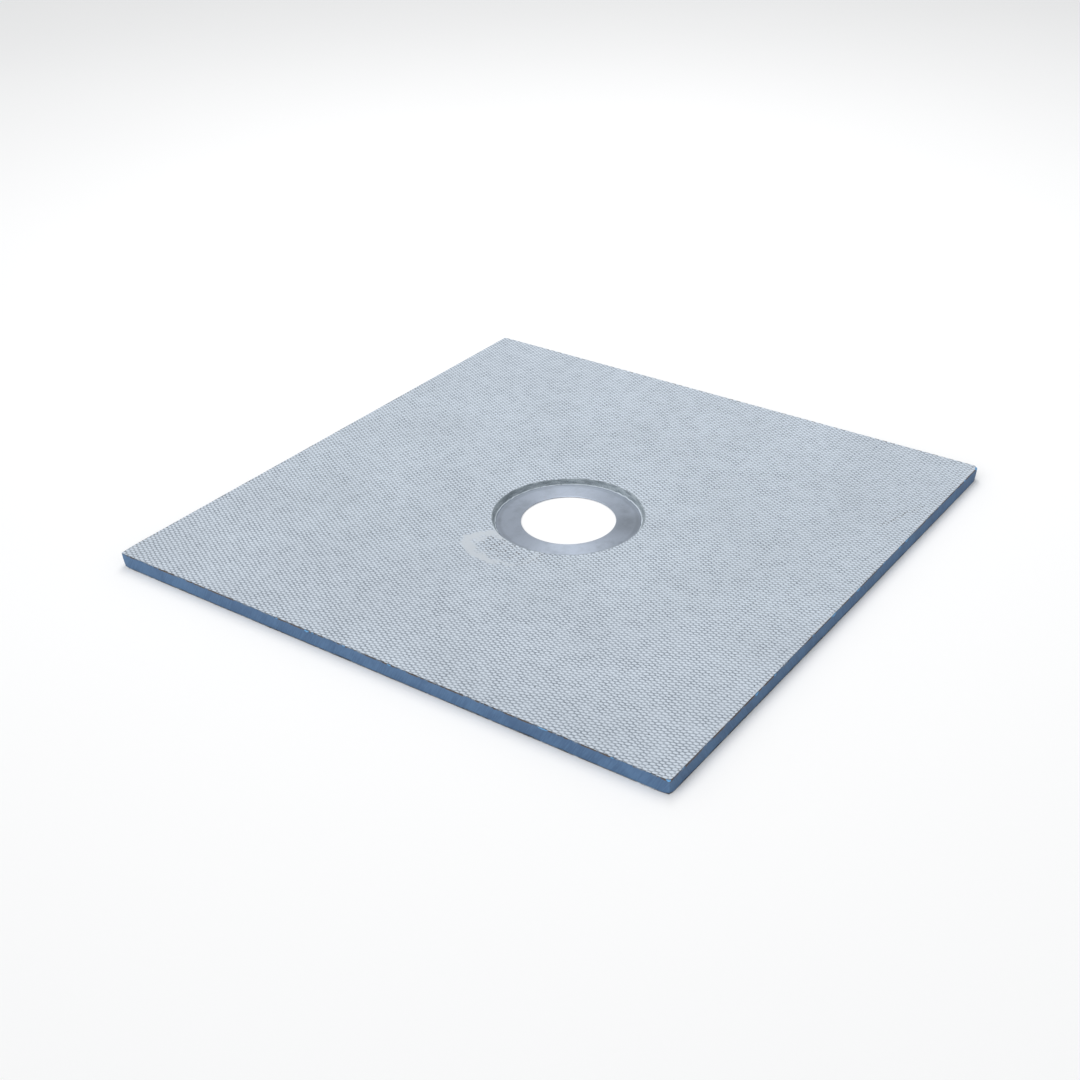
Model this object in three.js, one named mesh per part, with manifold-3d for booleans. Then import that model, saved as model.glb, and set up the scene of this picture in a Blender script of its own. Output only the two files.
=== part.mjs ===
// Shower underlay board: a square foam board with a grey cement facing on both sides. Its top falls
// on four flat facets to a round drain recess in the middle, which has a thin seat ring on its floor
// and a hole right through. Millimetres, +Z up, the origin at the middle of the underside.

import * as THREE from "three";
import { mergeVertices } from "three/addons/utils/BufferGeometryUtils.js";
import Module from "manifold-3d";

// Board
const BOARD_LENGTH = 900; // along X
const BOARD_WIDTH = 900; // along Y
const EDGE_THICKNESS = 22; // over both facings, at the four edges
const FALL_DEPTH = 16.2; // from the edges down to the point where the four facets would meet

// Layers
const TOP_FACING_THICKNESS = 0.8;
const UNDERSIDE_FACING_THICKNESS = 0.8;
const BOND_LINE = 0.3; // open line between the top facing and the foam

// Drain recess
const RECESS_FLOOR_RADIUS = 108;
const RECESS_WALL_LEAN = THREE.MathUtils.degToRad(26); // the wall opens upwards
const WALL_LINING_THICKNESS = 1;
const DRAIN_HOLE_RADIUS = 70;
const UNDERSIDE_HOLE_MARGIN = 2; // the underside facing is cut back from the seat ring's bore
const SEAT_RING_THICKNESS = 0.6;
const SEAT_RING_CLEARANCE = 0.3;

// Fineness and cutting margins
const ROUND_SEGMENTS = 128;
const CUT_MARGIN = 5; // how far a cutting shape runs past what it cuts

const COLOURS = {
  foam: 0x2f62a8,
  facing: 0xb9c3cd,
  underside: 0x9aa1a6,
  seatRing: 0x98a2b0,
};

const wasm = await Module();
wasm.setup();

// Solids to and from closed meshes
function solidFromGeometry(geometry) {
  const bare = geometry.clone();
  bare.deleteAttribute("normal");
  bare.deleteAttribute("uv");
  const merged = mergeVertices(bare, 1e-4);
  const vertProperties = new Float32Array(merged.attributes.position.array);
  const triVerts = new Uint32Array(merged.index.array);
  return new wasm.Manifold(new wasm.Mesh({ numProp: 3, vertProperties, triVerts }));
}

function geometryFromSolid(solid) {
  const mesh = solid.getMesh();
  const geometry = new THREE.BufferGeometry();
  geometry.setAttribute("position", new THREE.BufferAttribute(new Float32Array(mesh.vertProperties), 3));
  geometry.setIndex(new THREE.BufferAttribute(new Uint32Array(mesh.triVerts), 1));
  geometry.computeVertexNormals();
  return geometry;
}

// Flat slab with the board's outline. Its faces are set straight to their heights, so that slabs
// that lie on each other share one plane exactly.
function slab(bottom, top) {
  const geometry = new THREE.BoxGeometry(BOARD_LENGTH, BOARD_WIDTH, 1);
  const corners = geometry.attributes.position;
  for (let i = 0; i < corners.count; i += 1) {
    corners.setZ(i, corners.getZ(i) > 0 ? top : bottom);
  }
  return solidFromGeometry(geometry);
}

// Everything above the four facets that start at edgeHeight on the board's outline: an upside-down
// pyramid, scaled up about its point so that it runs past the edges
function spaceAboveFall(edgeHeight) {
  const scale = 1 + CUT_MARGIN / FALL_DEPTH;
  const height = FALL_DEPTH * scale;
  const geometry = new THREE.ConeGeometry(Math.SQRT1_2, 1, 4);
  geometry.rotateX(-Math.PI / 2);
  geometry.rotateZ(Math.PI / 4);
  geometry.scale(BOARD_LENGTH * scale, BOARD_WIDTH * scale, height);
  geometry.translate(0, 0, edgeHeight - FALL_DEPTH + height / 2);
  return solidFromGeometry(geometry);
}

// Solid of revolution about the board's upright centre line
function turned(profile) {
  const points = profile.map(([radius, height]) => new THREE.Vector2(radius, height));
  const geometry = new THREE.LatheGeometry([...points, points[0]], ROUND_SEGMENTS);
  geometry.rotateX(Math.PI / 2);
  return solidFromGeometry(geometry);
}

// Recess wall: its radius at a height, for the wall's own face or one that stands off it
const seatRingTop = UNDERSIDE_FACING_THICKNESS + SEAT_RING_THICKNESS;

function wallRadius(height, standOff = 0) {
  return RECESS_FLOOR_RADIUS + (height - seatRingTop) * Math.tan(RECESS_WALL_LEAN) + standOff;
}

function recessPlug(bottom, top, standOff = 0) {
  return turned([
    [0, bottom],
    [wallRadius(bottom, standOff), bottom],
    [wallRadius(top, standOff), top],
    [0, top],
  ]);
}

const aboveBoard = EDGE_THICKNESS + CUT_MARGIN;
const belowBoard = -CUT_MARGIN;

// Foam core: the thick body under the top facing
function foamCore() {
  const coreEdgeHeight = EDGE_THICKNESS - TOP_FACING_THICKNESS - BOND_LINE;
  const block = slab(UNDERSIDE_FACING_THICKNESS, EDGE_THICKNESS);
  return block
    .subtract(spaceAboveFall(coreEdgeHeight))
    .subtract(recessPlug(belowBoard, aboveBoard, WALL_LINING_THICKNESS + BOND_LINE));
}

// Top facing: the thin cement skin on the facets, turned down to line the recess wall
function topFacing() {
  const fallTop = spaceAboveFall(EDGE_THICKNESS);
  const skin = slab(UNDERSIDE_FACING_THICKNESS, EDGE_THICKNESS)
    .intersect(spaceAboveFall(EDGE_THICKNESS - TOP_FACING_THICKNESS));
  const lining = recessPlug(UNDERSIDE_FACING_THICKNESS, aboveBoard, WALL_LINING_THICKNESS);
  return skin
    .add(lining)
    .subtract(fallTop)
    .subtract(recessPlug(belowBoard, aboveBoard + CUT_MARGIN));
}

// Underside facing: the flat skin that the board lies on
function undersideFacing() {
  const holeRadius = DRAIN_HOLE_RADIUS + UNDERSIDE_HOLE_MARGIN;
  const hole = turned([
    [0, belowBoard],
    [holeRadius, belowBoard],
    [holeRadius, aboveBoard],
    [0, aboveBoard],
  ]);
  return slab(0, UNDERSIDE_FACING_THICKNESS).subtract(hole);
}

// Seat ring: the thin smooth ring on the recess floor, which takes the drain's flange
function drainSeatRing() {
  const outerRadius = wallRadius(UNDERSIDE_FACING_THICKNESS) - SEAT_RING_CLEARANCE;
  return turned([
    [DRAIN_HOLE_RADIUS, UNDERSIDE_FACING_THICKNESS],
    [outerRadius, UNDERSIDE_FACING_THICKNESS],
    [outerRadius, seatRingTop],
    [DRAIN_HOLE_RADIUS, seatRingTop],
  ]);
}

function piece(name, solid, color, roughness) {
  const material = new THREE.MeshStandardMaterial({ color, roughness, metalness: 0, flatShading: true });
  const mesh = new THREE.Mesh(geometryFromSolid(solid), material);
  mesh.name = name;
  return mesh;
}

const board = new THREE.Group();
board.name = "shower_underlay_board";
board.add(
  piece("foam_core", foamCore(), COLOURS.foam, 0.75),
  piece("top_facing", topFacing(), COLOURS.facing, 0.9),
  piece("underside_facing", undersideFacing(), COLOURS.underside, 0.9),
  piece("drain_seat_ring", drainSeatRing(), COLOURS.seatRing, 0.35),
);

export default board;
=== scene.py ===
"""Shower underlay board: foam core, embossed cement facings, lined drain recess and seat ring."""

import math

import bmesh
import bpy
import numpy as np
from mathutils import Matrix, Vector
from mathutils.geometry import delaunay_2d_cdt


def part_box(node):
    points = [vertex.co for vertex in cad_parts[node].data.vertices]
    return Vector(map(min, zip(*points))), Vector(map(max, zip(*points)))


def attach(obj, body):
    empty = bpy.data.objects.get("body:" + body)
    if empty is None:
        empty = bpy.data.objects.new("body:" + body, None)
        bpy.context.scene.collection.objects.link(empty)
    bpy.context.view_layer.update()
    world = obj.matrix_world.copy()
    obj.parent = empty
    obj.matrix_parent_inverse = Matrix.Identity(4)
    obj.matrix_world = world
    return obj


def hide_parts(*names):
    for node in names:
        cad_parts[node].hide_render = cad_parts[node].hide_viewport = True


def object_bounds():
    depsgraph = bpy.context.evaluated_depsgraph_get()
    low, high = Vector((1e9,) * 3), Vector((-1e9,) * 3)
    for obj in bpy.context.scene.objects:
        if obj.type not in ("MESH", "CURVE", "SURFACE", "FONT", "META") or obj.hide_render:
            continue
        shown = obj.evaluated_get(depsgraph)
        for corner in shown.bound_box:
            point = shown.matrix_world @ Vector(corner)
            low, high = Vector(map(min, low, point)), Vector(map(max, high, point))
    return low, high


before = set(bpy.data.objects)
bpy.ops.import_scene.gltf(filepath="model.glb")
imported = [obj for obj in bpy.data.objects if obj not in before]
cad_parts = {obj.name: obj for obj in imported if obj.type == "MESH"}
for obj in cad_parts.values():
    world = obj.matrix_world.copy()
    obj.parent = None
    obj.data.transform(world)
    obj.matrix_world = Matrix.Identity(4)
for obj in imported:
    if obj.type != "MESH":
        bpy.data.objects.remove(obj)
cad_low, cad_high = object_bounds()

bl_info = {
    "name": "Shower Underlay Board",
    "version": (1, 0, 0),
    "blender": (4, 5, 0),
    "location": "View3D > Sidebar > Underlay Board",
    "description": "Builds the finish of a shower underlay board round its measured frame",
    "category": "Object",
}

MM = 0.001


# Sizes read from the frame
def node_low(node):
    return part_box(node)[0]


def node_high(node):
    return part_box(node)[1]


HALF_LENGTH = node_high("top_facing")[0]
HALF_WIDTH = node_high("top_facing")[1]
EDGE_HEIGHT = node_high("top_facing")[2]
CORE_LOW = node_low("foam_core")[2]
CORE_EDGE_HEIGHT = node_high("foam_core")[2]
RING_LOW = node_low("drain_seat_ring")[2]
RING_TOP = node_high("drain_seat_ring")[2]
RING_RADIUS = node_high("drain_seat_ring")[0]


def srgb(*display):
    """Linear colour of an 8-bit display colour."""
    shares = (value / 255 for value in display)
    return tuple(s / 12.92 if s < 0.0405 else ((s + 0.055) / 1.055) ** 2.4 for s in shares)


# What a user would change
def length(label, words, value):
    return bpy.props.FloatProperty(name=label, description=words, default=value, unit="LENGTH",
                                   precision=5)


def angle(label, words, degrees):
    return bpy.props.FloatProperty(name=label, description=words, default=math.radians(degrees),
                                   unit="ROTATION")


def amount(label, words, value):
    return bpy.props.FloatProperty(name=label, description=words, default=value)


def colour(label, words, value):
    return bpy.props.FloatVectorProperty(name=label, description=words, default=value, size=3,
                                         subtype="COLOR", min=0.0, max=1.0)


class BoardSizes(bpy.types.PropertyGroup):
    """Sizes of the board, its facings and its recess."""

    fall_depth: length("Fall depth", "Drop from the edges to where the four facets would meet", 0.0162)
    facing_thickness: length("Facing thickness", "Thickness of the top facing", 0.0008)
    bond_line: length("Bond line", "Open line between the top facing and the foam", 0.0003)
    corner_radius: length("Corner radius", "Wear of the board's upright corners", 0.0016)
    recess_radius: length("Recess radius", "Radius of the recess wall at its floor", 0.108)
    wall_lean: angle("Wall lean", "How far the recess wall leans outwards", 26.0)
    lining_thickness: length("Lining thickness", "Cement on the recess wall", 0.001)
    hole_radius: length("Hole radius", "Bore of the seat ring", 0.07)
    hole_margin: length("Hole margin", "How far the underside facing is cut back from the bore", 0.002)
    bead_width: length("Bead width", "Cement bead where the wall meets the ring", 0.0022)
    bead_height: length("Bead height", "Height of that bead over the ring", 0.0009)


class ReliefSizes(bpy.types.PropertyGroup):
    """The honeycomb relief pressed into both facings."""

    cell_length: length("Cell length", "Pitch of the bumps along a column", 0.0060)
    cell_skew: length("Cell skew", "Sideways lean of a column over one bump", 0.00043)
    column_pitch: length("Column pitch", "Distance between columns", 0.00635)
    column_stagger: length("Column stagger", "How far the next column is shifted", -0.00316)
    bow: amount("Bow", "Bow of the columns, as sideways metres for each square metre along them", 0.1)
    sideways_weight: amount("Sideways weight", "Below 1 the bumps run into ovals", 0.74)
    depth: length("Relief depth", "From a bump's top to the groove", 0.00055)
    wander: length("Wander", "How far a bump lies off its place", 0.00045)


class FinishColours(bpy.types.PropertyGroup):
    """Colours of the finishes."""

    cement_pale: colour("Cement, pale", "Tops of the bumps", srgb(205, 215, 226))
    # This darker grey is painted shade where it colours the grooves between the bumps, and the cement's
    # own darker tone on the cut edges and over the foam's bond line.
    cement_grey_and_groove_shade: colour("Cement, groove", "Grooves between the bumps", srgb(130, 139, 150))
    cement_smear: colour("Cement, smear", "Cement wiped smooth beside the recess", srgb(193, 199, 205))
    wall_pale: colour("Wall, pale", "Lining of the recess wall", srgb(172, 183, 191))
    # This darker grey is also used as painted shade over the far-left part of the recess wall, which is
    # turned from the light.
    wall_dark_patches_and_shade: colour("Wall, dark", "Damp and gritty parts of that lining", srgb(112, 123, 131))
    foam: colour("Foam", "Cut face of the foam", srgb(86, 117, 152))
    foam_deep: colour("Foam, deep", "Darker streaks of the cut face", srgb(68, 97, 131))
    # This lighter blue is fresh foam in the chips, partly painted highlight, and a painted highlight along
    # the upright arrises of the right-hand corners.
    foam_chip_tone_and_highlight: colour("Foam, fresh", "Where a chip shows the foam", srgb(112, 172, 222))
    glue: colour("Bond line", "Dark line under the top facing", srgb(92, 80, 72))
    # This duller grey is also painted shade over the seat ring's right-hand side.
    ring: colour("Seat ring", "Hard plastic of the seat ring", srgb(164, 174, 189))
    ring_dull_and_shade: colour("Seat ring, dull", "Dulled zones of the seat ring", srgb(136, 145, 157))
    underside: colour("Underside", "Cement of the underside facing", srgb(176, 182, 186))


class StageSettings(bpy.types.PropertyGroup):
    """Camera, lights and floor."""

    azimuth: angle("Azimuth", "Camera direction round the board", 34.284)
    elevation: angle("Elevation", "Camera height over the horizon", 31.032)
    roll: angle("Roll", "Turn of the camera about its view", -0.426)
    distance: length("Distance", "Camera to the point it turns about", 2.1952)
    centre: bpy.props.FloatVectorProperty(name="Centre", description="Point that the camera turns about",
                                          default=(0.09234, -0.08603, 0.022), subtype="TRANSLATION")
    focal_length: amount("Focal length", "In mm, for a sensor 36 mm wide", 52.43)
    shift_x: amount("Shift X", "Sideways framing of the photograph", -0.0442)
    shift_y: amount("Shift Y", "Upright framing of the photograph", 0.0100)
    strip_power: amount("Strip light", "Power of the long softbox over the board, in watts", 38.0)
    key_strength: amount("Key light", "Strength of the soft light from the front", 1.35)
    key_softness: angle("Key softness", "How wide the front light is", 60.0)
    world_strength: amount("World light", "Strength of the even light all round", 0.48)
    floor: colour("Floor", "Pale studio floor", (0.97, 0.97, 0.97))


# Uneven numbers that are the same each run
def ripple(x, y, wavelength, seed, waves=9):
    """Smooth unevenness over the plane, mostly between -1 and 1."""
    draw = np.random.default_rng(seed)
    total = np.zeros(np.broadcast(x, y).shape)
    for _ in range(waves):
        heading = draw.uniform(0, 2 * math.pi)
        span = wavelength * draw.uniform(0.6, 1.7)
        start = draw.uniform(0, 2 * math.pi)
        total += np.sin((x * math.cos(heading) + y * math.sin(heading)) * 2 * math.pi / span + start)
    return total / math.sqrt(waves)


def smoothstep(low, high, value):
    t = np.clip((value - low) / (high - low), 0, 1)
    return t * t * (3 - 2 * t)


# Shape of the board
def share_outward(x, y):
    """0 at the board's middle and 1 all along its edges."""
    return np.maximum(np.abs(x) / HALF_LENGTH, np.abs(y) / HALF_WIDTH)


def facet_height(x, y, edge_height, fall):
    """Height of the four facets that fall from edge_height at the board's edges."""
    return edge_height - fall * (1 - share_outward(x, y))


def rim_radius(turn, sizes, edge_height, stand_off=0.0):
    """Radius at which the leaning recess wall meets the facets, in each direction."""
    lean = math.tan(sizes.wall_lean)
    climb = sizes.fall_depth * share_outward(np.cos(turn), np.sin(turn))
    floor_radius = sizes.recess_radius + stand_off
    return (floor_radius + (edge_height - sizes.fall_depth - RING_TOP) * lean) / (1 - climb * lean)


def wall_radius(height, sizes, stand_off=0.0):
    return sizes.recess_radius + stand_off + (height - RING_TOP) * math.tan(sizes.wall_lean)


class Outline:
    """The board's outline as closely spaced points, with what lies outwards at each."""

    CORNER_STEPS = 4
    CORNER_ZONE = 14 * MM
    SIDES = (((0, -1), (1, 0)), ((1, 0), (0, 1)), ((0, 1), (-1, 0)), ((-1, 0), (0, -1)))

    def __init__(self, step, radius):
        points = []
        for normal, run in self.SIDES:
            reach = HALF_WIDTH if normal[1] else HALF_LENGTH
            half = (HALF_LENGTH if normal[1] else HALF_WIDTH) - radius
            count = int(round(2 * half / step))
            for i in range(count):
                s = -half + 2 * half * i / count
                points.append((normal[0] * reach + run[0] * s, normal[1] * reach + run[1] * s))
            straight = reach - radius
            centre = (normal[0] * straight + run[0] * half, normal[1] * straight + run[1] * half)
            for i in range(self.CORNER_STEPS):
                turn = math.pi / 2 * i / self.CORNER_STEPS
                lean = (normal[0] * math.cos(turn) + run[0] * math.sin(turn),
                        normal[1] * math.cos(turn) + run[1] * math.sin(turn))
                points.append((centre[0] + lean[0] * radius, centre[1] + lean[1] * radius))
        self.points = np.array(points)
        inner = np.array((HALF_LENGTH, HALF_WIDTH)) - self.CORNER_ZONE
        out = self.points - np.clip(self.points, -inner, inner)
        self.outward = out / np.linalg.norm(out, axis=1, keepdims=True)

    def room_inside(self, edge, x, y, reach=10 * MM):
        """How far each place lies inside a pulled-in outline, or reach where that is more."""
        room = np.full(len(x), reach)
        close = np.flatnonzero((np.abs(x) > HALF_LENGTH - reach) | (np.abs(y) > HALF_WIDTH - reach))
        for part in np.array_split(close, 1 + len(close) // 2000):
            away = np.column_stack((x[part], y[part]))[:, None, :] - edge[None, :, :]
            nearest = np.argmin((away ** 2).sum(axis=2), axis=1)
            room[part] = -(away[np.arange(len(part)), nearest] * self.outward[nearest]).sum(axis=1)
        return room

    def pulled_in(self, inset):
        """The outline moved inwards, by one distance or by one for each point."""
        return self.points - self.outward * np.reshape(inset, (-1, 1))


# Chips along the top edges, by side: place along it, half length, depth
CHIPS = {
    "front": ((-0.1535, 0.0020, 0.0012), (-0.1005, 0.0032, 0.0026), (-0.0900, 0.0018, 0.0010),
              (-0.0370, 0.0030, 0.0010), (0.0385, 0.0028, 0.0014), (0.2740, 0.0065, 0.0014),
              (0.3720, 0.0025, 0.0011), (0.4480, 0.0022, 0.0018)),
    "right": ((-0.4200, 0.0035, 0.0014), (-0.3570, 0.0022, 0.0010), (-0.2480, 0.0034, 0.0040),
              (-0.2010, 0.0026, 0.0026), (-0.0985, 0.0026, 0.0015), (-0.0395, 0.0048, 0.0032),
              (0.0080, 0.0022, 0.0010), (0.0335, 0.0046, 0.0028), (0.1150, 0.0050, 0.0013),
              (0.1655, 0.0034, 0.0022), (0.1890, 0.0042, 0.0030), (0.3980, 0.0030, 0.0012),
              (0.4465, 0.0045, 0.0036)),
    "back": ((0.4150, 0.0060, 0.0018), (0.3935, 0.0030, 0.0014), (-0.1200, 0.0040, 0.0016),
             (-0.3810, 0.0030, 0.0012)),
    "left": ((0.2210, 0.0045, 0.0016), (-0.0760, 0.0030, 0.0012)),
}
CHIP_BAND = 2.5 * MM


def chip_depth(points, reach):
    """How far each outline point is chipped away, with the chips made reach times as long."""
    depth = np.zeros(len(points))
    x, y = points.T
    edges = {"front": (x, y, -HALF_WIDTH), "right": (y, x, HALF_LENGTH), "back": (x, y, HALF_WIDTH),
             "left": (y, x, -HALF_LENGTH)}
    for side, chips in CHIPS.items():
        along, across, edge = edges[side]
        beside = np.abs(across - edge) < CHIP_BAND
        for place, half, deep in chips:
            shape = np.clip(1 - np.abs(along - place) / (half * reach), 0, 1) ** 0.5
            depth = np.where(beside, np.maximum(depth, deep * shape), depth)
    return depth


def corner_wear(points):
    """1 at the board's four corners, fading along the edges."""
    away = np.hypot(HALF_LENGTH - np.abs(points[:, 0]), HALF_WIDTH - np.abs(points[:, 1]))
    return np.exp(-(away / (6 * MM)) ** 2)


BREAK_SEED = 63


def bottom_break(points, seed):
    """How far the lower edge is broken back, mostly nothing with a few longer stretches."""
    x, y = points.T
    long_break = 3.2 * MM * smoothstep(0.55, 0.85, ripple(x, y, 0.06, seed))
    short_break = 1.6 * MM * smoothstep(0.8, 1.3, ripple(x, y, 0.017, seed + 1))
    return long_break + short_break


# Honeycomb relief
class Honeycomb:
    """Where the bumps of the relief lie, and how high the facing is between them."""

    WANDER_SPAN = 0.024
    DOME_LOW = -0.45
    DOME_HIGH = 0.5

    def __init__(self, relief):
        self.relief = relief
        self.up = np.array((relief.cell_skew, relief.cell_length))
        self.over = np.array((relief.column_pitch, relief.column_stagger))
        self.to_phase = np.linalg.inv(np.column_stack((self.up, self.over)))

    def off_place(self, x, y):
        reach = self.relief.wander
        return reach * ripple(x, y, self.WANDER_SPAN, 11), reach * ripple(x, y, self.WANDER_SPAN, 12)

    def places(self, reach_x, reach_y, split=2):
        """Points on the bumps and on the saddles between them, out to the given reach."""
        count = int(split * 1.4 * max(reach_x, reach_y) / self.relief.cell_length)
        i, j = np.meshgrid(np.arange(-count, count + 1), np.arange(-count, count + 1))
        flat = (i.reshape(-1, 1) * self.up + j.reshape(-1, 1) * self.over) / split
        x = flat[:, 0] - self.relief.bow * flat[:, 1] ** 2
        y = flat[:, 1]
        shift_x, shift_y = self.off_place(x, y)
        x = x + shift_x
        y = y + shift_y
        inside = (np.abs(x) < reach_x) & (np.abs(y) < reach_y)
        return x[inside], y[inside]

    def phase(self, x, y):
        """Bump count along the column and across the columns, whole numbers on the bumps."""
        shift_x, shift_y = self.off_place(x, y)
        flat_x = x - shift_x + self.relief.bow * (y - shift_y) ** 2
        flat = np.stack((flat_x, y - shift_y))
        return self.to_phase @ flat

    def dome(self, x, y):
        """1 on a bump and 0 in a groove."""
        u, v = self.phase(x, y)
        weight = self.relief.sideways_weight
        turn = 2 * math.pi
        waves = np.cos(turn * u) + weight * np.cos(turn * v) + np.cos(turn * (v - u))
        return smoothstep(self.DOME_LOW, self.DOME_HIGH, waves / (2 + weight))


# Cement wiped over the relief beside the recess: a band, wide on the recess's left, round a pitted field
SMEAR_CENTRE = (-0.026, -0.131)
SMEAR_REACH = (0.061, 0.043)
SMEAR_HEAVY_SIDE = math.radians(200)


def smear_parts(x, y):
    """How far the relief is filled, and where its grooves are pitted dark, both 0 to 1."""
    dx = (x - SMEAR_CENTRE[0]) / SMEAR_REACH[0]
    dy = (y - SMEAR_CENTRE[1]) / SMEAR_REACH[1]
    out = np.hypot(dx, dy) + 0.05 * ripple(x, y, 0.022, 31) + 0.03 * ripple(x, y, 0.007, 32)
    heavy = np.cos(np.arctan2(dy, dx) - SMEAR_HEAVY_SIDE)
    wide = 0.13 + 0.2 * np.clip(heavy + 0.45, 0, 1.1)
    strength = 0.3 + 0.7 * np.clip(heavy + 0.6, 0, 1)
    inner = smoothstep(1 - 1.2 * wide, 1 - 0.8 * wide, out)
    beside_rim = smoothstep(0.125, 0.117, np.hypot(x, y) + 0.002 * ripple(x, y, 0.015, 37))
    inner = np.maximum(inner, beside_rim * smoothstep(-0.024, -0.034, x))
    outer = smoothstep(1.03, 0.98, out)
    patchy = smoothstep(-1.5, -0.6, ripple(x, y, 0.02, 33))
    filled = inner * outer * strength * patchy
    field = smoothstep(0.95, 0.7, out) * (1 - filled)
    outline = np.exp(-((out - 1.02) / 0.035) ** 2) * np.clip(0.4 - heavy, 0, 1)
    return filled, np.clip(field * smoothstep(0.1, 1.0, ripple(x, y, 0.012, 34)) + 0.8 * outline, 0, 1)


def scuffed(x, y):
    """1 on the faint brown scuff near the right corner."""
    line = 0.400 + 0.34 * (y - 0.207) + 0.0012 * ripple(y, 0, 0.03, 35)
    ends = smoothstep(0.195, 0.215, y) * smoothstep(0.305, 0.285, y)
    return ends * np.exp(-((x - line) / (2.6 * MM)) ** 2)


def worn_strip(x, y):
    """1 on the narrow strip along the right edge where the relief was rubbed flat."""
    share = 0.15 + 0.45 * smoothstep(-0.2, 1.0, ripple(y, 0, 0.11, 38))
    return share * smoothstep(0.4465, 0.4490, x + 0.0012 * ripple(y, 0, 0.05, 36))


def soiled_fringe(x, y):
    """1 in spots along the board's edges, where brown glue came through the relief."""
    from_edge = np.minimum(HALF_LENGTH - np.abs(x), HALF_WIDTH - np.abs(y))
    return 0.8 * smoothstep(0.0042, 0.001, from_edge) * smoothstep(0.0, 0.9, ripple(x, y, 0.018, 39))


# Meshes. A facing's finishes come in this order.
RELIEF, CUT_EDGE, WALL = range(3)


def mesh_object(name, vertices, faces, finishes, face_finish=None):
    """An object in the scene, its faces turned outwards."""
    mesh = bpy.data.meshes.new(name)
    mesh.from_pydata([tuple(v) for v in vertices], [], [tuple(f) for f in faces])
    for finish in finishes:
        mesh.materials.append(finish)
    if face_finish is not None:
        mesh.polygons.foreach_set("material_index", np.array(face_finish, dtype=np.int32))
    shaped = bmesh.new()
    shaped.from_mesh(mesh)
    bmesh.ops.recalc_face_normals(shaped, faces=shaped.faces)
    shaped.to_mesh(mesh)
    shaped.free()
    mesh.polygons.foreach_set("use_smooth", np.ones(len(mesh.polygons), dtype=bool))
    mesh.update()
    if face_finish is not None:
        sharpen_cut_edges(mesh)
    obj = bpy.data.objects.new(name, mesh)
    bpy.context.scene.collection.objects.link(obj)
    return obj


def read(items, field):
    """A whole-number field of every item."""
    values = np.zeros(len(items), dtype=np.int32)
    items.foreach_get(field, values)
    return values


def sharpen_cut_edges(mesh):
    """Keeps the shading of a cut edge apart from its neighbours'."""
    corner_edges = read(mesh.loops, "edge_index")
    corners = read(mesh.polygons, "loop_total")
    cut = np.repeat(read(mesh.polygons, "material_index") == CUT_EDGE, corners)
    beside_cut = np.bincount(corner_edges[cut], minlength=len(mesh.edges)) > 0
    beside_other = np.bincount(corner_edges[~cut], minlength=len(mesh.edges)) > 0
    sharp = mesh.attributes.new("sharp_edge", "BOOLEAN", "EDGE")
    sharp.data.foreach_set("value", beside_cut & beside_other)


def store(obj, name, kind, values):
    """A value at each vertex, for the finish to read."""
    attribute = obj.data.attributes.new(name, kind, "POINT")
    field = "vector" if kind == "FLOAT_VECTOR" else "value"
    attribute.data.foreach_set(field, np.asarray(values, dtype=np.float32).ravel())


def fill_between(outer, inner, inside=None, ties=()):
    """Triangles between two closed outlines, through the points inside. Returns points and faces, the
    outer outline first, then the inner one."""
    parts = [outer, inner] if inside is None else [outer, inner, inside]
    flat = np.concatenate(parts)
    count = len(outer)
    inner_count = len(inner)
    edges = [(i, (i + 1) % count) for i in range(count)]
    edges += [(count + i, count + (i + 1) % inner_count) for i in range(inner_count)]
    edges += [(a, count + b) for a, b in ties]
    points = [Vector(p) for p in (flat / MM).tolist()]
    places, _, faces, _, _, _ = delaunay_2d_cdt(points, edges, [], 1, 1e-5, True)
    if len(places) != len(flat):
        raise RuntimeError(f"{len(flat)} points came back as {len(places)}: an outline crosses itself")
    faces = np.array(faces)
    middle = flat[faces].mean(axis=1)
    hollow = np.hypot(inner[:, 0], inner[:, 1]).min()
    return flat, faces[np.hypot(middle[:, 0], middle[:, 1]) > hollow * 0.999]


def without_loose(vertices, faces, values):
    """Drops the vertices that no face uses, with their values."""
    used = np.zeros(len(vertices), dtype=bool)
    for face in faces:
        used[list(face)] = True
    moved = np.cumsum(used) - 1
    renumbered = [tuple(int(moved[i]) for i in face) for face in faces]
    return vertices[used], renumbered, values[used]


def band_faces(first, second, count):
    """Quads between two closed rings of count vertices, from their first indices."""
    pairs = [(i, (i + 1) % count) for i in range(count)]
    return [(first + i, first + j, second + j, second + i) for i, j in pairs]


def rings_object(name, rings, finish):
    """An object from rings of equal count, joined one to the next and the last to the first."""
    count = len(rings[0])
    faces = []
    for k in range(len(rings)):
        faces += band_faces(k * count, ((k + 1) % len(rings)) * count, count)
    return mesh_object(name, np.concatenate(rings), faces, [finish])


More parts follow.
